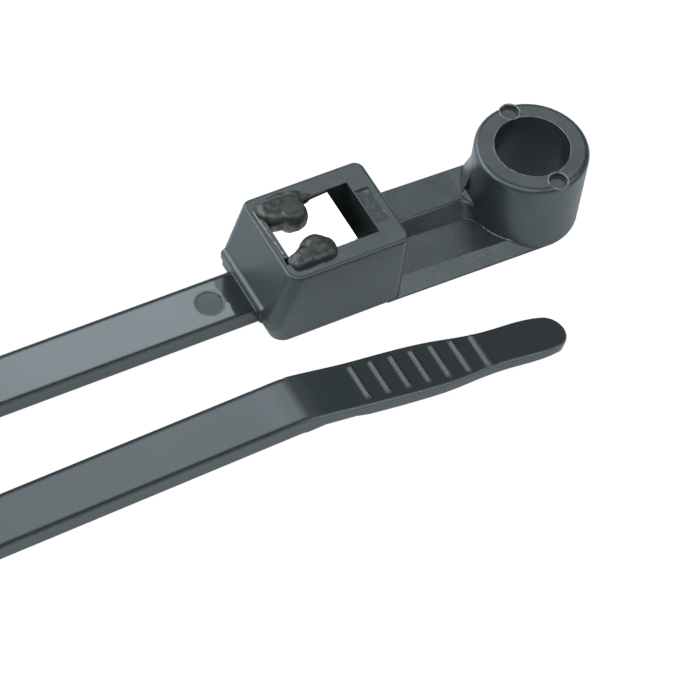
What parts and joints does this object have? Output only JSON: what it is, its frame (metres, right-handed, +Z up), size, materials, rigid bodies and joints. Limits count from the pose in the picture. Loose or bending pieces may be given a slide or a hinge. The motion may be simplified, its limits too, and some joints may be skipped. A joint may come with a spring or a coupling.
{
  "type": "mounting cable tie",
  "caption": "Moulded cable tie with a screw mounting eye beside its locking head and a steel blade set in the head to trim the tail, laid out with its strap looped back.",
  "frame": {"origin": "on the axis of the screw hole, at the seating face of the mounting eye", "axes": "+Z up out of the seating face, +X from the locking head towards the mounting eye, so the strap leaves the head towards -X"},
  "size_m": [0.1035, 0.0223, 0.0092],
  "materials": {
    "nylon": "moulded, satin to glossy",
    "steel": "polished"
  },
  "bodies": {
    "root": {"tie_body": "nylon", "cutting_blade": "steel"}
  },
  "joints": []
}
